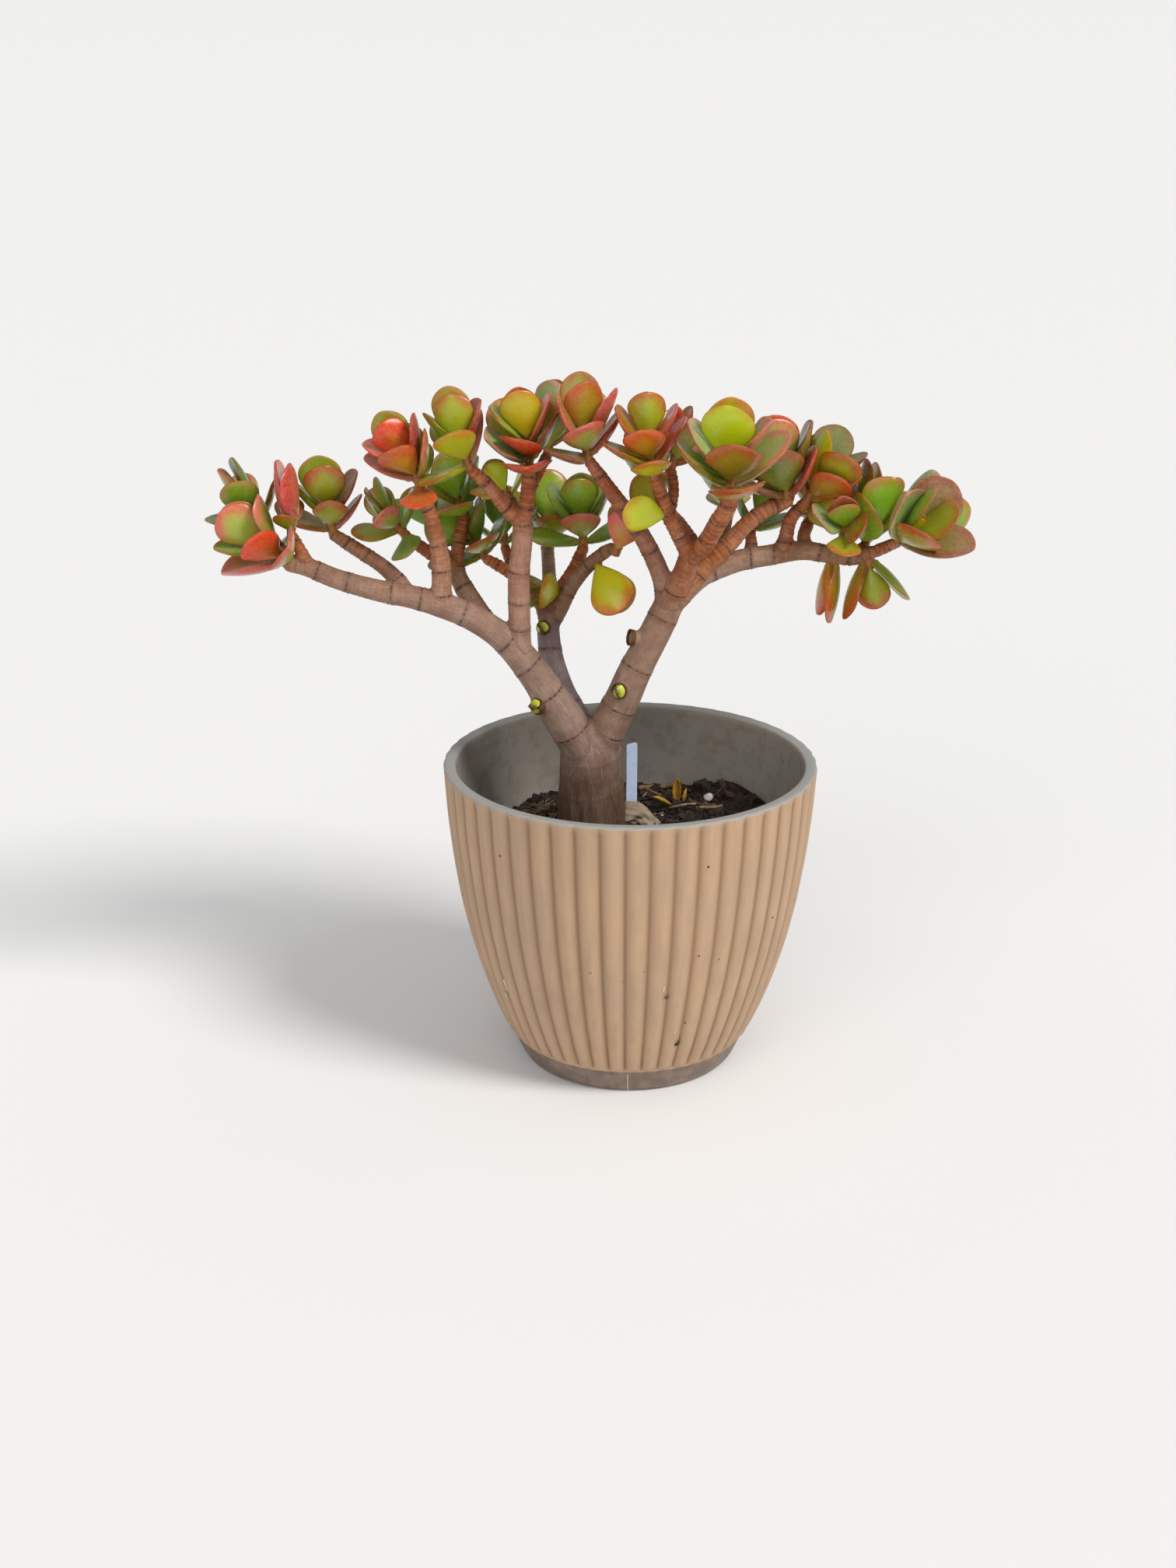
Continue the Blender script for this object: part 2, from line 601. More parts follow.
def makeLabelFine(material):
    # a flat strip, pointed below, its top corners rounded and its edges a little bevelled
    width, thick, tall = labelLook["size"]
    half, corner = width / 2, 1.5
    outline = [(-half, 14), (0, 0.4), (half, 14), (half, tall - corner)]
    for a in np.linspace(0.3, math.pi / 2, 5):
        outline.append((half - corner + corner * math.cos(a), tall - corner + corner * math.sin(a)))
    for a in np.linspace(0, math.pi / 2, 6):
        outline.append((-half + corner - corner * math.sin(a), tall - corner + corner * math.cos(a)))
    turn = math.radians(labelLook["turn"])
    points = []
    for side, inset in ((-1, 0.12), (-0.8, 0), (0.8, 0), (1, 0.12)):
        for x, z in outline:
            x, y = x * (1 - inset / half), side * (thick / 2 - 0.05)
            points.append((
                labelLook["at"][0] + x * math.cos(turn) - y * math.sin(turn),
                labelLook["at"][1] + x * math.sin(turn) + y * math.cos(turn),
                labelLook["foot"] + z,
            ))
    label = makeMesh("label_fine", points, tubeFaces(4, len(outline)), material, sharp=35)
    return belong(label, "label", "plant_label")


# Wood

# Wood: each branch runs from its parent outwards as (x, y, z, radius).
branches = {
    "trunk": [(-20, 12, 99, 19.4), (-21, 12, 132, 18.7), (-22, 10, 162, 18.0), (-22, 7, 179, 16.8),
              (-23, 5, 189, 13.5)],
    "rootFlare": [(-16, 16, 132, 9.0), (-4, 18, 137, 7.5), (6, 22, 135, 5.5), (17, 24, 125, 3.5)],
    "leftLimb": [
        (-23, 4, 176, 11.8), (-31, 1, 191, 11.8), (-41, -1, 208, 10.8), (-52, -4, 227, 9.3),
        (-69, -6, 249, 7.8), (-88, -8, 263, 7.2), (-106, -8, 270, 6.9), (-121, -8, 274, 6.5),
        (-136, -8, 277, 6.1), (-159, -6, 283, 5.5), (-175, -4, 289, 5.0), (-186, -3, 291, 4.4),
    ],
    "leftTipRear": [(-185, -3, 291, 4.0), (-194, 5, 301, 3.4), (-201, 11, 309, 3.0)],
    "leftTall": [(-175, -4, 289, 4.0), (-179, -3, 298, 3.4), (-184, -2, 307, 3.0)],
    "leftRear": [(-122, -7, 274, 5.0), (-126, -3, 280, 4.8), (-136, 4, 288, 4.4), (-152, 10, 297, 4.0),
                 (-163, 14, 303, 3.4)],
    "leftRiser": [
        (-103, -8, 269, 5.6), (-103, -8, 279, 5.4), (-103, -9, 295, 5.0), (-105, -10, 308, 4.4),
        (-108, -11, 321, 3.8), (-112, -12, 333, 3.3),
    ],
    "leftBack": [(-78, -4, 256, 6.0), (-87, 8, 266, 5.6), (-95, 18, 277, 5.0), (-97, 24, 284, 4.6)],
    "leftBackLow": [(-97, 22, 282, 4.2), (-108, 20, 289, 4.0), (-122, 17, 300, 3.4)],
    "leftBackHigh": [(-97, 22, 282, 4.2), (-95, 30, 296, 3.8), (-92, 35, 308, 3.3)],
    "leftBackTuft": [(-97, 24, 283, 3.8), (-106, 40, 288, 3.4), (-112, 52, 295, 3.0)],
    "column": [(-61, -6, 242, 6.4), (-61, -6, 259, 6.3), (-61, -6, 285, 6.0), (-59, -6, 307, 5.6),
               (-59, -6, 318, 5.0)],
    "columnLeft": [(-59, -6, 314, 4.4), (-68, -8, 324, 4.2), (-78, -10, 337, 3.8), (-86, -12, 345, 3.2)],
    "columnRight": [(-59, -6, 313, 4.6), (-56, -6, 328, 4.2), (-55, -7, 342, 3.6)],
    "columnTop": [(-56, -6, 331, 3.6), (-50, 4, 340, 3.2), (-45, 11, 349, 2.9)],
    "columnMid": [(-59, -6, 314, 3.6), (-63, 7, 318, 3.1), (-65, 14, 322, 2.6)],
    "middleLimb": [
        (-23, 12, 173, 11.0), (-30, 16, 191, 10.0), (-39, 20, 210, 8.4), (-44, 25, 227, 6.9),
        (-46, 30, 242, 6.6), (-45, 33, 252, 6.0),
    ],
    "middleRight": [
        (-46, 31, 245, 5.2), (-39, 33, 256, 4.6), (-33, 33, 268, 4.3), (-23, 29, 282, 3.9),
        (-12, 20, 293, 3.5), (-8, 12, 294, 3.2),
    ],
    "middleUp": [(-45, 32, 250, 4.8), (-39, 40, 264, 4.2), (-31, 46, 276, 3.8), (-26, 46, 288, 3.3)],
    "middleLeft": [(-46, 32, 248, 4.6), (-52, 38, 261, 4.2), (-64, 42, 271, 3.8), (-74, 42, 278, 3.5),
                   (-81, 42, 282, 3.1)],
    "middleLeftUp": [(-64, 42, 271, 3.4), (-68, 53, 278, 3.2), (-71, 60, 284, 2.9)],
    "rearLimb": [(-44, 32, 248, 5.0), (-45, 48, 255, 4.6), (-46, 62, 267, 4.2), (-47, 72, 283, 3.8)],
    "rightLimb": [
        (-23, 8, 175, 12.5), (-15, 6, 190, 11.4), (-6, 3, 209, 10.2), (1, 0, 226, 9.4),
        (9, -2, 243, 8.7), (17, -4, 261, 8.2), (23, -6, 275, 7.6),
    ],
    "rightTwig": [
        (19, -5, 270, 6.0), (17, -6, 282, 5.4), (11, -8, 297, 5.0), (3, -10, 312, 4.8),
        (-5, -12, 324, 4.4), (-16, -14, 340, 3.8), (-23, -15, 350, 3.2),
    ],
    "centreStub": [(21, -6, 271, 7.0), (28, -12, 288, 6.3), (31, -16, 300, 5.8)],
    "centreLeft": [(31, -16, 298, 4.6), (25, -18, 310, 4.3), (19, -20, 322, 4.0), (15, -22, 333, 3.7),
                   (11, -27, 344, 3.2)],
    "centreLeftRear": [(19, -20, 322, 3.4), (22, -8, 332, 3.1), (21, -1, 342, 2.8)],
    "centreRight": [(31, -16, 298, 4.8), (38, -22, 306, 4.9), (44, -30, 319, 5.0), (49, -37, 330, 4.8),
                    (50, -40, 336, 4.4)],
    "centreBranch": [
        (24, -6, 273, 6.4), (39, -4, 290, 5.6), (52, -2, 301, 5.0), (62, 0, 312, 4.6),
        (73, 2, 320, 4.3), (84, 4, 324, 3.9),
    ],
    "outerLimb": [
        (23, -4, 271, 6.8), (37, 0, 283, 6.5), (50, 4, 288, 6.4), (61, 6, 291, 6.1), (77, 8, 293, 5.7),
        (94, 10, 295, 5.3), (108, 10, 293, 4.8), (121, 10, 291, 4.3), (129, 9, 293, 3.9),
    ],
    "outerEnd": [(127, 9, 293, 3.8), (136, 8, 296, 3.4), (143, 7, 300, 3.0)],
    "outerEndRear": [(135, 8, 296, 3.2), (143, 14, 297, 3.0), (148, 18, 298, 2.8)],
    "outerTwigA": [(65, 8, 291, 3.8), (66, 14, 297, 3.4), (66, 22, 302, 3.0)],
    "outerTwigB": [(81, 8, 293, 4.6), (84, 9, 301, 4.3), (87, 12, 312, 3.8), (95, 14, 321, 3.3)],
    "outerTwigC": [(96, 10, 295, 4.4), (95, 18, 301, 3.8), (99, 30, 307, 3.3)],
    "outerTwigD": [(115, 10, 292, 3.4), (115, 8, 299, 2.8), (115, 7, 303, 2.7)],
    "outerTall": [(120, 10, 291, 3.6), (125, 14, 294, 3.3), (129, 17, 296, 3.0)],
    "rightRear": [(26, -2, 275, 5.4), (38, 20, 284, 5.0), (50, 38, 291, 4.4), (55, 50, 306, 3.6)],
    "rightRearHigh": [(41, 24, 285, 3.8), (31, 46, 298, 3.5), (16, 62, 312, 3.0)],
}

# Cut side shoots, left as short stubs: branch, share of its length, direction, length, radius
stubs = [
    ("leftLimb", 0.19, (-0.64, -0.75, 0.1), 14.0, 4.2),
    ("rightLimb", 0.45, (-0.4, -0.9, 0.1), 12.5, 4.0),
    ("rightLimb", 0.73, (-0.95, -0.25, 0.2), 12.5, 4.0),
    ("middleLimb", 0.93, (-0.35, -0.93, 0.1), 9.0, 3.6),
]
barkLook = {
    "voxel": 0.99, "scarEvery": 21.0, "scarHeight": 0.30, "scar": "#3c2018",
    "stubFace": "#a9ba1e", "stubRim": "#5a3a22", "flake": "#d8b48c",
}

# Bark colours: the branch's start and its end, and how young it is at each.
barkTones = {
    "trunk": ("#54392a", "#846a5c", 0.0, 0.1), "rootFlare": ("#8c7a66", "#a8977e", 0.0, 0.0),
    "leftLimb": ("#957a6b", "#98715a", 0.0, 0.35), "column": ("#a88270", "#a26c4c", 0.1, 0.5),
    "middleLimb": ("#867c80", "#847070", 0.0, 0.2), "rightLimb": ("#9a7c6a", "#98735c", 0.0, 0.1),
    "outerLimb": ("#967866", "#966c46", 0.0, 0.5), "centreStub": ("#9a6444", "#a05828", 0.2, 0.5),
    "centreBranch": ("#a05e2e", "#a8581a", 0.5, 0.9), "middleRight": ("#8e6c56", "#8a623e", 0.3, 0.5),
    "leftRiser": ("#a27860", "#aa5a1a", 0.2, 0.95), "leftBack": ("#8e6c5a", "#8a6442", 0.2, 0.4),
    "leftRear": ("#8e6c5a", "#985e34", 0.2, 0.7), "rightTwig": ("#8e6c5a", "#ae5012", 0.2, 1.0),
    "rightRear": ("#8e6c5a", "#8e5c32", 0.2, 0.5), "rearLimb": ("#847074", "#866244", 0.2, 0.5),
}
youngBark = ("#9e5420", "#b05412", 0.9, 1.0)


def barkMaterial():
    # Succulent bark, dry and a little waxy: mauve-brown, rust on young twigs, dark ring scars, fine fibres
    material, shader, add = newMaterial("dry jade plant bark")
    tone, grain = (add("vector", attribute_name=name) for name in ("tone", "grain"))
    ring, young, low = (add("value", attribute_name=name) for name in ("ring", "young", "low"))
    # grain is (side, other, way) in millimetres; squeezing the third makes fibres that run along the branch
    stretched = add("stretch", grain, (1.0, 1.0, 0.10))
    fibre = add("noise", stretched, 1.5, 5.0, 0.65)
    stripe = add("noise", stretched, 0.5, 3.0)
    patch = add("noise", grain, 0.09, 4.0, 0.6)
    around = add("noise", add("stretch", grain, (0.15, 0.15, 1.0)), 0.8, 3.0)
    pale, brown = add("mix", 0.50, tone, "#c9b4a4"), add("mix", 0.6, tone, "#5a3a2a")
    base = add("mix", add("times", add("rise", patch, 0.40, 0.72), 0.42), tone, pale)
    base = add("mix", add("times", add("rise", patch, 0.52, 0.28), 0.45), base, brown)
    base = add("mix", add("times", add("rise", stripe, 0.55, 0.75), 0.35), base, "#b7a296")
    cleft = add("mix", 0.6, tone, "#3c2a24")
    base = add("mix", add("times", add("rise", fibre, 0.52, 0.38), 0.42), base, cleft)
    # young twigs: rust bands round them, and pale ones
    for start, full, share, colour in ((0.50, 0.62, 0.55, "#7c3210"), (0.48, 0.36, 0.40, "#cf8a4c")):
        band = add("times", add("times", add("rise", around, start, full), young), share)
        base = add("mix", band, base, colour)
    # the foot of the trunk: dark, fibrous and soil-stained
    base = add("mix", add("times", add("rise", fibre, 0.45, 0.62), low), base, "#8a6848")
    base = add("mix", add("times", low, 0.50), base, "#2c1c14")
    # ring scars: a thin broken dark line with a brown lip
    wide = add("timesPlus", stripe, 0.9, 0.15)
    scar = add("times", add("rise", add("over", ring, wide), 1.4, 0.4), 0.95)
    scar = add("times", scar, add("timesPlus", add("rise", stripe, 0.42, 0.58), 0.55, 0.25))
    base = add("mix", add("times", add("rise", ring, 2.6, 1.0), 0.22), base, "#6c4632")
    rough = add("minus", 0.60, add("times", young, 0.20))
    height = add("plus", fibre, add("times", around, add("times", young, 0.9)))
    height = add("minus", height, add("times", scar, 0.8))
    setSockets(shader, {
        "Base Color": add("mix", scar, base, barkLook["scar"]),
        "Roughness": add("plus", rough, add("times", fibre, 0.12)),
        "Normal": add("bump", height, 0.8, 0.0006),
        "IOR": 1.45,
    })
    return material


def stubMaterial():
    # Healed cut green wood: a moist yellow-green pith with a dry brown lip
    material, shader, add = newMaterial("healed stub wood")
    rim = add("value", attribute_name="rim")
    grain = add("noise", add("scale", add("place"), 1000.0), 0.9, 4.0)
    pith = add("mix", add("rise", grain, 0.38, 0.66), barkLook["stubFace"], "#cfd64a")
    lip = add("rise", add("plus", rim, add("times", grain, 0.4)), 0.75, 1.05)
    setSockets(shader, {
        "Base Color": add("mix", lip, pith, barkLook["stubRim"]),
        "Roughness": add("plus", 0.42, add("times", lip, 0.35)),
        "Normal": add("bump", grain, 0.6, 0.0005),
    })
    return material


def branchPoint(name, part):
    # the point at a share of a branch's length
    points = np.array(branches[name], float)[:, :3]
    steps = np.linalg.norm(np.diff(points, axis=0), axis=1)
    way = part * steps.sum()
    for i, step in enumerate(steps):
        if way <= step or i == len(steps) - 1:
            return points[i] + (points[i + 1] - points[i]) / step * min(way, step)
        way -= step


def scarPlaces(length, radius, draw):
    # ring scars stand closer on thin twigs
    every = barkLook["scarEvery"] * min(1.15, 0.42 + radius / 12)
    places, way = [], draw.uniform(2, every)
    while way < length:
        places.append(way)
        way += every * draw.uniform(0.65, 1.4)
    return np.array(places if places else [length / 2])


def branchTube(name, path, ways, count, draw):
    # a branch's tube, lobed and knobbly by a per cent or two, its far end rounded
    angles = np.arange(count) * 2 * math.pi / count
    phases = draw.uniform(0, 6.3, 6)
    swell = 1 + 0.022 * np.sin(2 * angles[None] + phases[0] + ways[:, None] / 19)
    swell = swell + 0.016 * np.sin(3 * angles[None] + phases[1] - ways[:, None] / 11)
    swell = swell + 0.014 * np.sin(ways[:, None] / 6.5 + phases[2] + np.sin(angles[None] + phases[3]))
    if name == "trunk":
        swell = swell + 0.022 * np.sin(7 * angles[None] + phases[4] + ways[:, None] / 30)
    caps = []
    for share, shrink in ((0.35, 0.92), (0.6, 0.75), (0.78, 0.45)):
        cap = path[-1:].copy()
        cap[0, :3] += unit(path[-1, :3] - path[-2, :3]) * share * path[-1, 3] * 0.6
        cap[0, 3] *= shrink
        caps.append(cap)
    whole = np.concatenate([path] + caps)
    swell = np.concatenate([swell] + [swell[-1:]] * len(caps))
    return tubeRings(whole, count, swell), tubeFaces(len(whole), count)


def layBranches(parts):
    # adds each branch's tube; gives samples of the centre lines, and where each branch has its ring scars
    draw = np.random.RandomState(17)
    step, flareReach = 1.6, 4.0
    samples, scars = [], []
    for key, (name, points) in enumerate(branches.items()):
        path = smoothPath(points, step)
        if name not in ("trunk", "rootFlare"):
            # joints swell a little where a branch leaves its parent
            path[:, 3] *= 1 + 0.10 * np.exp(-np.arange(len(path)) * step / flareReach)
        count = 40 if path[0, 3] > 10 else 24 if path[0, 3] > 6 else 16
        ways = np.concatenate([[0], np.cumsum(np.linalg.norm(np.diff(path[:, :3], axis=0), axis=1))])
        parts.add(*branchTube(name, path, ways, count, draw))
        tangents, sides, others = carriedFrames(path[:, :3])
        start, end, youngStart, youngEnd = barkTones.get(name, youngBark)
        share = (ways / ways[-1])[:, None]
        samples.append({
            "place": path[:, :3], "radius": path[:, 3], "way": ways, "ahead": tangents, "side": sides,
            "other": others, "key": np.full(len(path), key),
            "tone": np.array(linear(start))[None] * (1 - share) + np.array(linear(end))[None] * share,
            "young": youngStart + (youngEnd - youngStart) * share[:, 0],
        })
        scars.append(scarPlaces(ways[-1], path[:, 3].mean(), draw))
    return {key: np.concatenate([s[key] for s in samples]) for key in samples[0]}, scars


def addStubTubes(parts):
    for branch, part, direction, reach, radius in stubs:
        place = branchPoint(branch, part)
        tip = place + unit(np.array(direction)) * (reach - 0.6)
        shares = np.linspace(0, 1, 10)
        path = np.array([(*(place + (tip - place) * s), radius * (1 + 0.16 * (1 - s))) for s in shares])
        parts.add(tubeRings(path, 20), tubeFaces(len(path), 20))


def joinTubes(wood):
    # one smooth skin over the joined tubes; gives its points and normals, in millimetres
    remesh = wood.modifiers.new("remesh", "REMESH")
    remesh.mode = "VOXEL"
    remesh.voxel_size = barkLook["voxel"] * 0.001
    smooth = wood.modifiers.new("smooth", "SMOOTH")
    smooth.factor = 0.5
    smooth.iterations = 5
    bpy.context.view_layer.update()
    mesh = bpy.data.meshes.new_from_object(wood.evaluated_get(bpy.context.evaluated_depsgraph_get()))
    wood.modifiers.clear()
    wood.data = mesh
    points, normals = (np.empty(len(mesh.vertices) * 3, np.float32) for _ in range(2))
    mesh.vertices.foreach_get("co", points)
    mesh.vertices.foreach_get("normal", normals)
    return points.reshape(-1, 3).astype(float) * 1000, normals.reshape(-1, 3).astype(float)


def nearestBranch(points, samples):
    # each point's nearest centre-line sample, and its tone and youth, blended where branches meet
    owner = np.zeros(len(points), int)
    tone = np.zeros((len(points), 3))
    young = np.zeros(len(points))
    chunk = 2500
    for first in range(0, len(points), chunk):
        part = points[first:first + chunk]
        far = np.linalg.norm(part[:, None] - samples["place"][None], axis=2) - samples["radius"][None]
        owner[first:first + chunk] = far.argmin(1)
        weight = np.exp(-np.clip(far - far.min(1)[:, None], 0, 12) * 1.1)
        weight /= weight.sum(1)[:, None]
        tone[first:first + chunk] = weight @ samples["tone"]
        young[first:first + chunk] = weight @ samples["young"]
    return owner, tone, young


def ringDistance(keys, way, angle, scars):
    # how far each point is from a ring scar, up to 9 mm; the rings tilt a little
    ring = np.full(len(keys), 9.0)
    for key, places in enumerate(scars):
        mine = np.where(keys == key)[0]
        if len(mine):
            tilt = 0.5 * np.sin(angle[mine] + key) + 0.25 * np.sin(2 * angle[mine] + key * 2.1)
            ring[mine] = np.abs(way[mine, None] + tilt[:, None] - places[None]).min(1)
    ring = np.clip(ring, 0, 9)
    names = list(branches)
    trunk = keys == names.index("trunk")
    ring[trunk] = np.clip(ring[trunk] + 1.2, 0, 9)
    ring[keys == names.index("rootFlare")] = 9
    return ring


def makeWoodFine(material):
    parts = Parts()
    samples, scars = layBranches(parts)
    addStubTubes(parts)
    wood = parts.make("wood_fine", material)
    points, normals = joinTubes(wood)
    owner, tone, young = nearestBranch(points, samples)
    offset = points - samples["place"][owner]
    side = (offset * samples["side"][owner]).sum(1)
    other = (offset * samples["other"][owner]).sum(1)
    way = samples["way"][owner] + (offset * samples["ahead"][owner]).sum(1)
    angle = np.arctan2(other, side)
    keys = samples["key"][owner]
    ring = ringDistance(keys, way, angle, scars)
    # scars stand up a little, with a groove in the middle, and young bark is finely ringed
    lift = barkLook["scarHeight"] * (np.exp(-((ring - 0.9) / 0.8) ** 2) - 0.9 * np.exp(-(ring / 0.45) ** 2))
    lift += 0.16 * np.sin(way * 1.9 + keys) * np.clip(young, 0, 1)
    # the trunk's foot is ridged and broader, and the root flare is ridged more
    names = list(branches)
    trunk, flare = keys == names.index("trunk"), keys == names.index("rootFlare")
    low = np.clip((178 - points[:, 2]) / 26, 0, 1) * trunk
    lift += low * (0.55 * np.sin(angle * 17 + way / 9) + 0.4 * np.sin(angle * 29 - way / 6)) * 0.5
    lift += flare * (0.7 * np.sin(angle * 5 + way / 3) + 0.5 * np.sin(angle * 11 - way / 2.2))
    lift += 0.9 * np.clip((172 - points[:, 2]) / 20, 0, 1) * trunk
    points += normals * lift[:, None]
    wood.data.vertices.foreach_set("co", (points * 0.001).astype(np.float32).ravel())
    wood.data.update()
    grain = np.stack([side, other, way + keys * 37.0], 1)
    for name, values in (("tone", tone), ("young", young), ("ring", ring), ("low", low), ("grain", grain)):
        putValues(wood.data, name, values)
    wood.data.shade_smooth()
    print("scene: wood has", len(wood.data.polygons), "faces")
    return belong(wood, "bark", "trunk_and_branches")


def makeStubFaces(material):
    # the cut ends: a domed yellow-green face inside a thin brown rim
    parts = Parts()
    draw = np.random.RandomState(3)
    for branch, part, direction, reach, radius in stubs:
        place = branchPoint(branch, part)
        line = unit(np.array(direction))
        path = []
        for run, share in ((-2.2, 1.10), (-0.4, 1.16), (0.5, 1.14), (0.8, 1.08), (0.75, 1.02), (0.45, 0.98)):
            path.append((*(place + line * (reach + run)), radius * share))
        for share in (0.84, 0.62, 0.38, 0.14):
            path.append((*(place + line * (reach + 0.45 + 1.5 * (0.98 - share))), radius * share))
        rings = tubeRings(np.array(path), 24)
        lumps = draw.uniform(-0.12, 0.12, (len(rings), 1))
        rings = rings + lumps * line
        rim = np.repeat(np.array([1, 1, 1, 0.9, 0.45, 0.1, 0, 0, 0, 0.0]), 24)
        parts.add(rings, tubeFaces(len(path), 24), rim=rim)
    belong(parts.make("stub_faces", material, sharp=60), "bark")


def makeFlakes(material):
    # thin curling slivers that peel off the young twigs and the trunk's foot
    draw = np.random.RandomState(52)
    parts = Parts()
    sides, footTop = 4, 176
    for name, count in (
        ("columnLeft", 26), ("columnRight", 22), ("centreLeft", 24), ("centreRight", 26), ("rightTwig", 26),
        ("leftRiser", 20), ("centreBranch", 20), ("trunk", 110), ("outerLimb", 16), ("leftLimb", 14),
    ):
        path = smoothPath(branches[name], 1.0)
        tangents, across, others = carriedFrames(path[:, :3])
        for _ in range(count):
            i = draw.randint(2, len(path) - 3)
            if name == "trunk" and path[i, 2] > footTop:
                continue
            a = draw.uniform(0, 2 * math.pi)
            out = across[i] * math.cos(a) + others[i] * math.sin(a)
            ahead = unit(tangents[i] + np.cross(tangents[i], out) * draw.uniform(-0.5, 0.5))
            reach = draw.uniform(1.2, 3.6)
            lift = draw.uniform(0.1, 0.7)
            base = path[i, :3] + out * (path[i, 3] * (1.03 if name == "trunk" else 1.0) + 0.02)
            strip = [(*(base + ahead * reach * t + out * lift * t * t), 0.11 * (1 - 0.75 * t))
                     for t in np.linspace(0, 1, 5)]
            parts.add(tubeRings(np.array(strip), sides), tubeFaces(len(strip), sides),
                      shift=draw.uniform(-0.5, 0.5))
    belong(parts.make("bark_flakes", material, smooth=False), "bark")


# Leaves

# Leafy shoots: the branch and how far along it, the shoot's direction in the picture plane and its lean
# towards -Y in degrees, the roll of its lowest pair, the number of pairs, the leaf length, how far the lowest
# and the highest pair open, and the size of the highest leaves against the lowest.
shoots = {
    "shoot_left_tip": ("leftLimb", 1.0, 134, 8, 0, 4, 34, 70, 16, 0.90),
    "shoot_left_tip_rear": ("leftTipRear", 1.0, 118, 5, 10, 3, 27, 62, 14, 1.0),
    "shoot_left_tall": ("leftTall", 1.0, 86, 4, 90, 2, 20, 62, 12, 1.65),
    "shoot_left_rear": ("leftRear", 1.0, 100, 12, 0, 4, 26, 64, 12, 1.1),
    "shoot_left_low": ("leftBackLow", 1.0, 128, 18, 90, 4, 27, 88, 16, 0.9),
    "shoot_left_rise": ("leftRiser", 1.0, 106, 10, 90, 5, 29, 68, 12, 0.92),
    "shoot_left_high_rear": ("leftBackHigh", 1.0, 110, 4, 90, 3, 27, 66, 18, 0.95),
    "shoot_left_back_tuft": ("leftBackTuft", 1.0, 95, -15, 90, 2, 27, 62, 24, 0.95),
    "shoot_column_left": ("columnLeft", 1.0, 112, 8, 0, 4, 31, 64, 14, 0.92),
    "shoot_column_mid": ("columnMid", 1.0, 120, 5, 0, 2, 20, 58, 18, 0.9),
    "shoot_column_right": ("columnRight", 1.0, 92, 12, 90, 5, 32, 62, 12, 0.90),
    "shoot_column_top": ("columnTop", 1.0, 86, 6, 60, 3, 28, 60, 12, 1.0),
    "shoot_middle_left": ("middleLeft", 1.0, 122, 10, 0, 4, 29, 70, 16, 0.9),
    "shoot_middle_left_up": ("middleLeftUp", 1.0, 92, -10, 0, 2, 28, 58, 22, 0.95),
    "shoot_middle_up": ("middleUp", 1.0, 94, 10, 0, 4, 31, 76, 12, 0.95),
    "shoot_middle_side": ("middleUp", 0.4, 186, 26, 70, 2, 27, 42, 30, 1.0),
    "shoot_middle_face": ("middleRight", 1.0, 72, 14, 90, 2, 29, 30, 24, 0.9),
    "shoot_middle_hang": ("middleRight", 0.7, 300, 24, 90, 1, 32, 24, 24, 1.0),
    "shoot_rear_top": ("rearLimb", 1.0, 88, -20, 90, 3, 30, 72, 20, 0.95),
    "shoot_right_twig": ("rightTwig", 1.0, 104, 4, 0, 4, 31, 62, 12, 0.95),
    "shoot_centre_left": ("centreLeft", 1.0, 100, 8, 90, 5, 30, 68, 12, 0.88),
    "shoot_centre_left_rear": ("centreLeftRear", 1.0, 80, 4, 20, 3, 27, 58, 12, 0.9),
    "shoot_centre_face": ("centreLeft", 0.50, 160, 6, 90, 1, 28, 26, 26, 1.0),
    "shoot_hero": ("centreRight", 1.0, 92, 12, 90, 5, 39, 68, 14, 0.80),
    "shoot_hero_rear": ("rightRear", 1.0, 90, -12, 90, 3, 31, 72, 20, 0.95),
    "shoot_hero_under": ("rightRear", 0.8, 200, 10, 20, 1, 28, 26, 26, 1.0),
    "shoot_right_back": ("rightRearHigh", 1.0, 96, -14, 90, 3, 30, 72, 20, 0.95),
    "shoot_centre_branch": ("centreBranch", 1.0, 96, 4, 0, 4, 34, 50, 12, 0.95),
    "shoot_centre_end": ("outerTwigB", 1.0, 66, 14, 0, 4, 32, 46, 12, 0.96),
    "shoot_outer_under": ("outerTwigA", 1.0, 60, -5, 0, 2, 27, 60, 22, 1.0),
    "shoot_outer_back": ("outerTwigC", 1.0, 70, -34, 90, 3, 28, 66, 18, 0.95),
    "shoot_outer_face": ("outerTwigD", 1.0, 92, 36, 90, 3, 27, 54, 20, 0.9),
    "shoot_outer_tall": ("outerTall", 1.0, 84, 0, 20, 3, 35, 40, 8, 1.0),
    "shoot_outer_end": ("outerEnd", 1.0, 50, 28, 0, 3, 41, 40, 16, 0.8),
    "shoot_outer_end_rear": ("outerEndRear", 1.0, 36, -6, 20, 2, 38, 34, 14, 0.95),
    "shoot_outer_droop": ("outerLimb", 1.0, 282, 14, 0, 2, 32, 40, 14, 0.7),
    "shoot_outer_droop_small": ("outerLimb", 0.84, 262, 8, 0, 1, 32, 13, 13, 0.8),
}

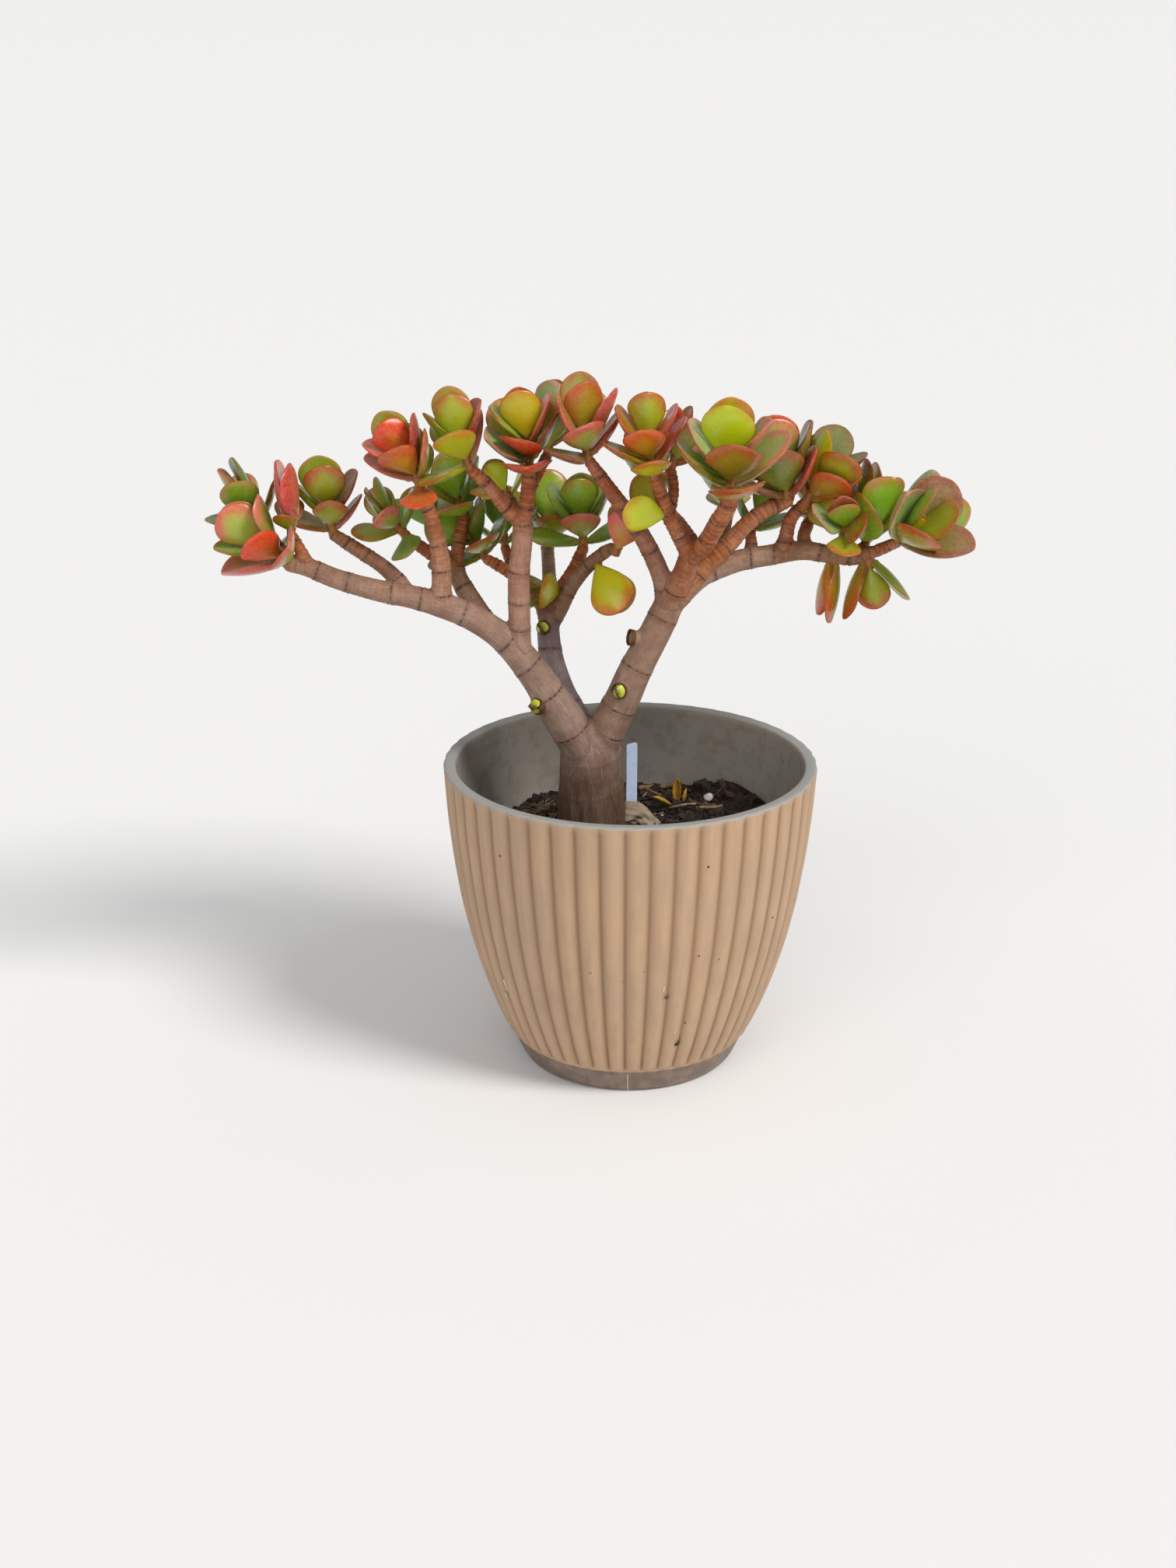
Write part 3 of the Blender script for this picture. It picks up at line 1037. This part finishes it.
# Leaf tones: the skin, the sun blush, how far the blush spreads (0 to 1) and the white bloom.
tones = {
    "lime": ("#b3c00a", "#b4560c", 0.24, 0.03), "olive": ("#8b9312", "#a2461a", 0.44, 0.05),
    "yellow": ("#b0a80c", "#b65a10", 0.42, 0.03), "deep": ("#52781c", "#86501a", 0.24, 0.10),
    "green": ("#769a16", "#a04e1c", 0.34, 0.08), "grey": ("#7c9f52", "#ae5e58", 0.42, 0.45),
    "pinkGreen": ("#8c9a34", "#b84c40", 0.62, 0.24), "pink": ("#b07c3c", "#c24644", 0.80, 0.24),
    "orange": ("#b0861a", "#b84a16", 0.74, 0.04), "red": ("#b0621e", "#c0341a", 0.90, 0.06),
    "crimson": ("#a45a34", "#ac2c30", 0.92, 0.22), "rust": ("#93801a", "#a44414", 0.70, 0.04),
    "dark": ("#5f6c18", "#803616", 0.48, 0.05), "plum": ("#756432", "#84342e", 0.76, 0.18),
}

# The tones of each shoot's leaves, lowest pair first, used in turn.
shootTones = {
    "shoot_left_tip": ["pinkGreen", "pink", "olive", "red", "green", "pinkGreen", "pinkGreen", "olive"],
    "shoot_left_tip_rear": ["olive", "deep", "pinkGreen", "green"],
    "shoot_left_tall": ["rust", "olive", "pink", "crimson"],
    "shoot_left_rear": ["pink", "rust", "green", "olive", "green", "plum", "olive", "green"],
    "shoot_left_low": ["green", "deep", "olive", "green", "pinkGreen", "olive"],
    "shoot_left_rise": ["olive", "red", "pink", "pinkGreen", "orange", "olive", "crimson", "pink", "green",
                        "red"],
    "shoot_left_high_rear": ["deep", "green", "olive", "deep", "green", "grey"],
    "shoot_left_back_tuft": ["deep", "green", "olive"],
    "shoot_column_left": ["pink", "olive", "green", "yellow", "green", "crimson", "olive", "olive"],
    "shoot_column_mid": ["lime", "yellow", "green"],
    "shoot_column_right": ["olive", "red", "grey", "pinkGreen", "red", "olive", "pink", "green", "red",
                           "yellow"],
    "shoot_column_top": ["plum", "olive", "pinkGreen", "green", "grey"],
    "shoot_middle_left": ["deep", "green", "grey", "olive", "deep"],
    "shoot_middle_left_up": ["deep", "grey", "green"],
    "shoot_middle_up": ["deep", "green", "deep", "pinkGreen", "deep"],
    "shoot_middle_side": ["olive", "yellow", "green"],
    "shoot_middle_face": ["olive", "pink", "orange", "rust"],
    "shoot_middle_hang": ["olive", "yellow"],
    "shoot_rear_top": ["green", "olive", "deep", "pinkGreen"],
    "shoot_right_twig": ["crimson", "plum", "olive", "pinkGreen", "pink", "pink", "rust", "olive"],
    "shoot_centre_left": ["red", "yellow", "olive", "red", "orange", "red", "pink", "rust", "rust", "olive"],
    "shoot_centre_left_rear": ["red", "rust", "pink", "olive"],
    "shoot_centre_face": ["olive", "lime"],
    "shoot_hero": ["green", "rust", "green", "pinkGreen", "rust", "olive", "pinkGreen", "grey", "yellow",
                   "lime"],
    "shoot_hero_rear": ["olive", "yellow", "green", "rust"],
    "shoot_hero_under": ["yellow", "lime"],
    "shoot_right_back": ["green", "olive", "deep", "rust"],
    "shoot_centre_branch": ["crimson", "plum", "olive", "dark", "plum", "dark", "pinkGreen", "red"],
    "shoot_centre_end": ["orange", "crimson", "olive", "orange", "lime", "dark", "olive", "dark"],
    "shoot_outer_under": ["green", "deep", "olive"],
    "shoot_outer_back": ["olive", "plum", "green", "deep"],
    "shoot_outer_face": ["olive", "olive", "grey", "rust", "green", "pink"],
    "shoot_outer_tall": ["olive", "green", "plum", "green", "dark", "olive"],
    "shoot_outer_end": ["plum", "grey", "plum", "rust", "green", "olive"],
    "shoot_outer_end_rear": ["plum", "grey", "plum", "green"],
    "shoot_outer_droop": ["rust", "green", "red", "olive"],
    "shoot_outer_droop_small": ["orange", "rust"],
}
leafLook = {
    "seed": 11, "ratio": 0.78, "thickness": 0.175, "gap": 1.2, "rounds": 60,
    "stemStart": 3.0, "stemStep": 4.4,
    "rings": 22, "cup": 0.05, "wave": 0.018, "margin": "#6e1f16", "speck": "#e8e6c0", "bloom": "#d9dccb",
}


def leafMaterial():
    # Jade leaf, a fleshy blade with a smooth waxy satin skin: olive to red, redder to its edge, a light bloom
    material, shader, add = newMaterial("satin jade leaf skin")
    skin, blush, place = (add("vector", attribute_name=name) for name in ("skin", "blush", "leafPlace"))
    share, edge, along, bloom, inner = (
        add("value", attribute_name=name) for name in ("blushShare", "edge", "along", "bloom", "inner")
    )
    # leafPlace is in millimetres: blotches of about 8 mm, mottling of 2 mm, dots 0.9 mm apart
    blotch = add("noise", place, 0.12, 3.0)
    mottle = add("noise", place, 0.5, 4.0, 0.6)
    # the blush spreads in from the margin and the tip as its share grows
    near = add("times", add("rise", edge, 11.0, 0.0), 0.46)
    tip = add("times", add("rise", along, 0.30, 1.0), 0.42)
    reach = add("plus", add("plus", near, tip), add("times", blotch, 0.55))
    start = add("minus", 1.02, share)
    base = add("mix", add("rise", reach, start, add("plus", start, 0.72)), skin, blush)
    # a yellower patch near the middle, a paler foot and a paler inner face
    glow = add("times", add("rise", mottle, 0.35, 0.75), 0.28)
    base = add("mix", glow, base, add("mix", 0.45, base, "#cdbb3a"))
    base = add("mix", add("times", add("rise", along, 0.30, 0.0), 0.45), base, "#a8b04a")
    base = add("mix", add("times", inner, 0.10), base, "#b8ae52")
    # fine pale dots, in places only
    dots = add("rise", add("cells", place, 1.1), 0.26, 0.12)
    dots = add("times", dots, add("times", add("rise", blotch, 0.35, 0.7), 0.30))
    base = add("mix", dots, base, leafLook["speck"])
    # dark dots and small brown marks
    marks = add("rise", add("cells", place, 0.19), 0.085, 0.03)
    base = add("mix", add("times", marks, 0.65), base, "#4a2414")
    # the thin dark red margin
    wobble = add("timesPlus", mottle, 0.7, 0.15)
    line = add("times", add("rise", add("over", edge, wobble), 1.2, 0.2), 0.50)
    base = add("mix", line, base, leafLook["margin"])
    # bloom: a whitish film, thinner where it has been rubbed
    rubbed = add("plus", add("times", mottle, 0.5), add("times", blotch, 0.5))
    film = add("times", add("times", add("rise", rubbed, 0.38, 0.62), bloom), 0.34)
    rough = add("timesPlus", film, 0.5, 0.22)
    grain = add("noise", place, 1.6, 2.0)
    height = add("plus", add("times", grain, 0.35), add("times", blotch, 1.4))
    setSockets(shader, {
        "Base Color": add("mix", film, base, leafLook["bloom"]),
        "Roughness": add("plus", rough, add("times", mottle, 0.10)),
        "Normal": add("bump", height, 0.35, 0.00045),
        "IOR": 1.45,
        "Subsurface Weight": 0.12,
        "Subsurface Radius": (1.0, 0.8, 0.25),
        "Subsurface Scale": 0.0022,
        "Coat Weight": 0.22,
        "Coat Roughness": 0.24,
    })
    return material


def shootAxis(angle, lean):
    # a shoot's direction: its angle in the picture plane and its lean towards the camera
    a, b = math.radians(angle), math.radians(lean)
    return np.array([math.cos(b) * math.cos(a), -math.sin(b), math.cos(b) * math.sin(a)])


def halfWidth(t):
    # half width of an obovate blade at t from base to tip, as a share of its greatest half width
    return max(0.13 + 0.10 * t, math.sin(math.pi * t ** 1.5) ** 0.56)


def layLeaves():
    # opposite pairs, each turned a quarter from the pair below, opening less towards the tip
    draw = np.random.RandomState(leafLook["seed"])
    leaves = []
    for name, shoot in shoots.items():
        branch, part, angle, lean, roll, pairs, length, opened, closed, grow = shoot
        at = branchPoint(branch, part)
        axis = shootAxis(angle, lean)
        across = unit(np.cross((0.0, 1.0, 0.0), axis))
        back = np.cross(axis, across)
        for pair in range(pairs):
            up = pair / max(1, pairs - 1)
            for side in (0, 1):
                phi = math.radians(roll + 90 * pair + 180 * side + draw.uniform(-9, 9))
                theta = math.radians(opened + (closed - opened) * up + draw.uniform(-6, 6))
                reach = length * (1 + (grow - 1) * up) * draw.uniform(0.92, 1.08)
                width = reach * leafLook["ratio"] * draw.uniform(0.92, 1.08)
                bend = draw.uniform(0.06, 0.16)
                radial = across * math.cos(phi) + back * math.sin(phi)
                along = axis * math.cos(theta) + radial * math.sin(theta)
                face = axis * math.sin(theta) - radial * math.cos(theta)
                leaves.append({
                    "shoot": name,
                    "base": at + axis * (leafLook["stemStart"] + leafLook["stemStep"] * pair) + radial,
                    "frame": np.stack([np.cross(face, along), face, along], 1),
                    "length": reach,
                    "width": width,
                    "thick": leafLook["thickness"] * reach,
                    "bend": bend,
                })
    return leaves


def leafSamples(leaf):
    # balls that stand for a leaf while the leaves are turned clear of each other
    points, radii = [], []
    for t, count in ((0.12, 1), (0.27, 3), (0.42, 5), (0.57, 5), (0.72, 5), (0.86, 5), (0.96, 3)):
        reach = max(0.0, leaf["width"] / 2 * halfWidth(t) - 1.8)
        for q in np.linspace(-1, 1, count) if count > 1 else (0.0,):
            points.append((q * reach, leaf["bend"] * leaf["length"] * t * t, t * leaf["length"]))
            radii.append(max(2.0, leaf["thick"] / 2 * (1 - 0.2 * q * q)))
    return np.array(points), np.array(radii)


def woodSamples():
    # balls that stand for the wood
    balls = []
    for points in branches.values():
        points = np.array(points, float)
        for a, b in zip(points[:-1], points[1:]):
            count = max(1, int(np.linalg.norm(b[:3] - a[:3]) / 2.5))
            balls += [a + (b - a) * i / count for i in range(count + 1)]
    balls = np.array(balls)
    return balls[:, :3], balls[:, 3]


def settleLeaves(leaves):
    # turns each leaf a little about its base until it is clear of other shoots and of the wood
    samples = [leafSamples(leaf) for leaf in leaves]
    local = np.array([s[0] for s in samples])
    radius = np.array([s[1] for s in samples])
    base = np.array([leaf["base"] for leaf in leaves])
    turned = np.array([leaf["frame"] for leaf in leaves])
    length = np.array([leaf["length"] for leaf in leaves])
    shootOf = np.array([list(shoots).index(leaf["shoot"]) for leaf in leaves])
    inner = local[:, :, 2] / length[:, None] < 0.5
    wood, woodRadius = woodSamples()
    nearWood = []
    for k in range(len(leaves)):
        away = np.linalg.norm(wood - base[k], axis=1)
        nearWood.append(np.where((away > 9) & (away < length[k] * 1.15 + 14))[0])
    for turn in range(leafLook["rounds"]):
        points = base[:, None] + np.einsum("nij,nkj->nki", turned, local)
        if turn % 6 == 0:
            centre = points.mean(1)
            reach = np.linalg.norm(points - centre[:, None], axis=2).max(1) + 4
            apart = np.linalg.norm(centre[:, None] - centre[None], axis=2)
            first, second = np.where(np.triu(apart < reach[:, None] + reach[None], 1))
            together = shootOf[first] == shootOf[second]
            ignore = together[:, None, None] & (inner[first][:, :, None] | inner[second][:, None])
            share = np.where(together, 0.5, 1.0)[:, None, None]
            need = radius[first][:, :, None] + radius[second][:, None] + leafLook["gap"]
        gap = points[first][:, :, None] - points[second][:, None]
        far = np.sqrt((gap * gap).sum(3)) + 1e-9
        press = np.clip(need - far, 0, None) * share
        press[ignore] = 0
        push = gap * (press / far)[..., None]
        torque = np.zeros((len(leaves), 3))
        np.add.at(torque, first, np.cross(points[first] - base[first][:, None], push.sum(2)).sum(1))
        np.add.at(torque, second, np.cross(points[second] - base[second][:, None], -push.sum(1)).sum(1))
        for k, near in enumerate(nearWood):
            gap = points[k][:, None] - wood[near][None]
            far = np.sqrt((gap * gap).sum(2)) + 1e-9
            press = np.clip(radius[k][:, None] + woodRadius[near][None] + leafLook["gap"] - far, 0, None)
            push = (gap * (press / far)[..., None]).sum(1)
            torque[k] += np.cross(points[k] - base[k], push).sum(0)
        size = np.linalg.norm(torque, axis=1)
        angle = np.clip(size / length ** 2 * 0.35, 0, math.radians(4))
        for k in np.where(size > 1e-6)[0]:
            turned[k] = turnMatrix(torque[k] / size[k], angle[k]) @ turned[k]
    for k, leaf in enumerate(leaves):
        leaf["frame"] = turned[k]


def leafRing(leaf, t, shape):
    # one cross-section of a fleshy blade: lens-shaped, its margin rounded, curling a little to its inner face
    length, width = leaf["length"], leaf["width"]
    blunt = math.sin(math.pi * min(1.0, t) ** 1.5) ** 0.56 if t < 1 else 0.0
    stalk = (0.13 + 0.10 * t) * (1 - max(0.0, (t - 0.8) / 0.2) ** 2) ** 0.5 if t < 1 else 0.0
    half = width / 2 * (blunt ** 5 + stalk ** 5) ** 0.2
    close = (1 - max(0.0, (t - 0.72) / 0.28) ** 2.2) ** 0.5 if t < 1 else 0.0
    fat = leaf["thick"] * (0.52 + 0.36 * math.sin(math.pi * min(1.0, t * 1.15) ** 0.9))
    fat *= 0.18 + 0.82 * close
    if t < 0.16:
        fat = max(fat, half * 1.15)
    fat = min(fat, half * 2.2) * (close > 0)
    across, lens, edge, inner = shape
    x = across * half
    lift = across ** 2 * leaf["cup"] * length * blunt
    lift += leaf["fold"] * np.abs(x)
    wave = leaf["wave"] * length * math.sin(2 * math.pi * (t * 1.4 + leaf["phase"])) * across ** 3 * blunt
    bent = leaf["bend"] * length * t * t
    y = bent + lift + wave + lens * fat
    twist = math.radians(leaf["twist"]) * t
    points = np.stack([
        x * math.cos(twist) - (y - bent) * math.sin(twist),
        bent + x * math.sin(twist) + (y - bent) * math.cos(twist),
        np.full(len(x), t * length),
    ], 1)
    return points, edge * half, inner


def crossShape():
    # places across the blade, with more of them by the margin; lens is the height over the mid plane
    steps = np.array([1.0, 0.985, 0.94, 0.85, 0.70, 0.50, 0.26])
    steps = np.concatenate([steps, [0.0], -steps[:0:-1]])
    lens = (1 - np.abs(steps) ** 2.5) ** 0.62
    low = np.concatenate([[-1.0], -steps[1:]])
    across = np.concatenate([steps, low])
    height = np.concatenate([0.42 * lens, -0.58 * (1 - np.abs(low) ** 2.5) ** 0.62])
    inner = np.concatenate([np.ones(len(steps)), np.zeros(len(low))])
    return across, height, 1 - np.abs(across), inner


def addLeaf(parts, leaf, shape):
    # one blade: rings from its foot to its tip, and a closed end at both
    count = len(shape[0])
    nearTip = np.linspace(0.77, 0.975, leafLook["rings"] - 14)
    ts = np.concatenate([np.linspace(0, 0.72, 13), nearTip, [0.992]])
    rings, edges, inners = zip(*(leafRing(leaf, t, shape) for t in ts))
    tip = np.array([[0.0, leaf["bend"] * leaf["length"], leaf["length"] * 0.999]])
    local = np.concatenate([*rings, tip])
    faces = tubeFaces(len(ts), count, closed=False)
    last = (len(ts) - 1) * count
    faces += [[last + i, last + (i + 1) % count, last + count] for i in range(count)]
    faces.append(list(range(count))[::-1])
    skin, blush, share, bloom = leaf["tone"]
    parts.add(
        leaf["base"] + local @ leaf["frame"].T, faces, skin=skin, blush=blush, blushShare=share, bloom=bloom,
        edge=np.append(np.concatenate(edges), 0.0), along=np.append(np.repeat(ts, count), 1.0),
        inner=np.append(np.concatenate(inners), 1.0), leafPlace=local + leaf["shift"],
    )


def dressLeaves(leaves):
    # each leaf's own tone, cup, fold and wave, drawn apart from the draws that place it
    draw = np.random.RandomState(29)
    seen = {}
    for leaf in leaves:
        name = leaf["shoot"]
        order = seen.get(name, 0)
        seen[name] = order + 1
        pattern = shootTones[name]
        skin, blush, share, bloom = tones[pattern[order % len(pattern)]]
        light = draw.uniform(1.0, 1.3)
        leaf["tone"] = (
            np.array(linear(skin)) * light * draw.uniform(0.94, 1.06, 3),
            np.array(linear(blush)) * light,
            share + draw.uniform(-0.10, 0.10),
            min(1.0, bloom * draw.uniform(0.5, 1.5)),
        )
        leaf["cup"] = leafLook["cup"] * draw.uniform(-0.2, 1.4)
        leaf["fold"] = draw.uniform(0.0, 0.10) if draw.rand() < 0.75 else draw.uniform(0.12, 0.30)
        leaf["wave"] = leafLook["wave"] * draw.uniform(0.0, 1.5)
        leaf["phase"] = draw.rand()
        leaf["twist"] = draw.uniform(-9, 9)
        leaf["shift"] = draw.uniform(0, 400, 3)


def budLeaf(at, axis, across, turn, length, opened, draw):
    # a small leaf of the closed bud at a shoot's tip
    back = np.cross(axis, across)
    radial = across * math.cos(turn) + back * math.sin(turn)
    theta = math.radians(opened)
    along = axis * math.cos(theta) + radial * math.sin(theta)
    face = axis * math.sin(theta) - radial * math.cos(theta)
    skin, blush, share, bloom = tones["lime"]
    return {
        "base": at + radial * 0.5, "frame": np.stack([np.cross(face, along), face, along], 1),
        "length": length, "width": length * 0.62, "thick": length * 0.26,
        "bend": 0.12, "cup": 0.03, "fold": 0.05,
        "wave": 0.0, "phase": 0.0, "twist": 0.0, "shift": draw.uniform(0, 400, 3),
        "tone": (np.array(linear(skin)), np.array(linear(blush)), share + 0.1, bloom),
    }


def addStem(parts, branch, at, axis, pairs, draw):
    # a shoot's short stem, a little wider at each pair and thinner to its tip
    top = leafLook["stemStart"] + leafLook["stemStep"] * (pairs - 1)
    thick, thin, sides = branches[branch][-1][3] * 0.8, 1.5, 14
    path = []
    for way in np.linspace(-2, top + 2.5, int(top * 2) + 8):
        share = np.clip((way - 4) / (top + 3.5 - 4), 0, 1)
        turn = (way - leafLook["stemStart"]) / leafLook["stemStep"] * 2 * math.pi
        knot = max(0.0, math.cos(turn)) ** 3 * 0.35
        path.append((*(at + axis * way), thick + (thin - thick) * share + knot * (way > 1)))
    rings = tubeRings(np.array(path), sides)
    tone = np.array(linear("#8f8a3c")) * draw.uniform(0.85, 1.15)
    parts.add(
        rings, tubeFaces(len(path), sides), skin=tone, blush=linear("#9a4a1e"), blushShare=0.75, bloom=0.0,
        edge=3.0, along=0.6, inner=0.0, leafPlace=rings + draw.uniform(0, 300, 3),
    )


def makeShoots(leaves, skin):
    shape = crossShape()
    draw = np.random.RandomState(41)
    for name, (branch, part, angle, lean, roll, pairs, length, *_) in shoots.items():
        at = branchPoint(branch, part)
        axis = shootAxis(angle, lean)
        across = unit(np.cross((0.0, 1.0, 0.0), axis))
        parts = Parts()
        for leaf in leaves:
            if leaf["shoot"] == name:
                addLeaf(parts, leaf, shape)
        # a pair of small leaves and a closed bud at the tip
        tip = at + axis * (leafLook["stemStart"] + leafLook["stemStep"] * (pairs - 1) + 1.2)
        for turn, size, opened in ((0, 0.30, 13), (1, 0.30, 13), (0.5, 0.17, 8), (1.5, 0.17, 8)):
            turned = math.radians(roll + 90 * pairs) + math.pi * turn
            addLeaf(parts, budLeaf(tip, axis, across, turned, length * size, opened, draw), shape)
        addStem(parts, branch, at, axis, pairs, draw)
        belong(parts.make(name + "_fine", skin), "leaf", name)


# Studio

lightLook = {"sky": 0.56, "key": 2.2, "front": 0.85, "floor": "#eeeeee"}


def addSun(name, towards, strength, softness, colour):
    # a far soft light that comes from the given direction
    light = bpy.data.lights.new(name, "SUN")
    light.energy = strength
    light.angle = math.radians(softness)
    light.color = linear(colour)
    thing = bpy.data.objects.new(name, light)
    bpy.context.scene.collection.objects.link(thing)
    thing.rotation_euler = Vector(towards).to_track_quat("Z", "Y").to_euler()
    return thing


# Make it all

makePotFine(potMaterial())
makePotMarks(
    grainyMaterial("pale scuffed plastic", "#cdb79a", "#e8dcc8", 0.8),
    grainyMaterial("dried dirt", "#2c2018", "#5a4634", 0.9),
)
print("scene: pot made")
makeSoilFine(grainyMaterial("dark potting soil", soilLook["dark"], soilLook["mid"], 0.45, depth=0.0012))
makeChips(
    grainyMaterial("damp bark chip", "#1c130e", soilLook["chip"], 0.35),
    grainyMaterial("weathered bark chip", "#6a5444", soilLook["pale"], 0.4),
    grainyMaterial("soil crumb", soilLook["dark"], "#34271f", 0.6),
    grainyMaterial("dry root fibre", "#5c4836", "#9a8468", 0.5, rough=0.9),
)
makeLitter(
    grainyMaterial("dry twig", "#7c6248", soilLook["twig"], 0.5, rough=0.9),
    grainyMaterial("pebble", "#9c968a", soilLook["pebble"], 0.6, rough=0.7),
    grainyMaterial("dry yellow leaf", "#9a6a1c", soilLook["dryLeaf"], 0.25, rough=0.65),
)
makeLabelFine(labelMaterial())
print("scene: soil and label made")
makeWoodFine(barkMaterial())
makeStubFaces(stubMaterial())
makeFlakes(grainyMaterial("flaking bark", "#9a6c48", barkLook["flake"], 0.6, rough=0.9))
print("scene: wood made")
leaves = layLeaves()
settleLeaves(leaves)
dressLeaves(leaves)
makeShoots(leaves, leafMaterial())
print("scene: leaves made:", len(leaves))

# The floor reaches past the top of the picture
floorMaterial, floorShader, _ = newMaterial("pale studio floor")
setSockets(floorShader, {"Base Color": lightLook["floor"], "Roughness": 0.9})
floorCorners = [(-40000, -20000, 0), (40000, -20000, 0), (40000, 90000, 0), (-40000, 90000, 0)]
floor = makeMesh("floor", floorCorners, [[0, 1, 2, 3]], floorMaterial)

# The sky is brighter overhead, as under a large soft box, and dimmer low down
world = bpy.data.worlds.new("studio")
bpy.context.scene.world = world
world.use_nodes = True
sky = world.node_tree
skyTone = addNode(sky, "ramp", addNode(sky, "height", addNode(sky, "wayOut")))
stops = skyTone.node.color_ramp.elements
stops[0].color = (*linear("#c4c5c8"), 1)
stops.new(0.35).color = (*linear("#ced0d3"), 1)
setSockets(sky.nodes["Background"], {"Color": skyTone, "Strength": lightLook["sky"]})
addSun("keyLight", (0.74, -0.52, 0.85), lightLook["key"], 20, "#fffdfa")
addSun("frontLight", (-0.30, -0.9, 0.5), lightLook["front"], 50, "#fffdfa")

# The camera stands where the photograph was taken from
camera = bpy.data.cameras.new("camera")
camera.sensor_fit = "VERTICAL"
camera.sensor_height = 36.0
camera.lens = 2795 / 2016 * 36.0  # the photograph's focal length in pixels over its height
camera.clip_end = 200
cameraThing = bpy.data.objects.new("camera", camera)
bpy.context.scene.collection.objects.link(cameraThing)
cameraThing.location = (-0.023608, -1.149467, 0.591340)
cameraThing.rotation_euler = (math.radians(69.533), 0, 0)
bpy.context.scene.camera = cameraThing
bpy.context.scene.view_settings.view_transform = "Standard"
print("scene: floor, light and camera set")
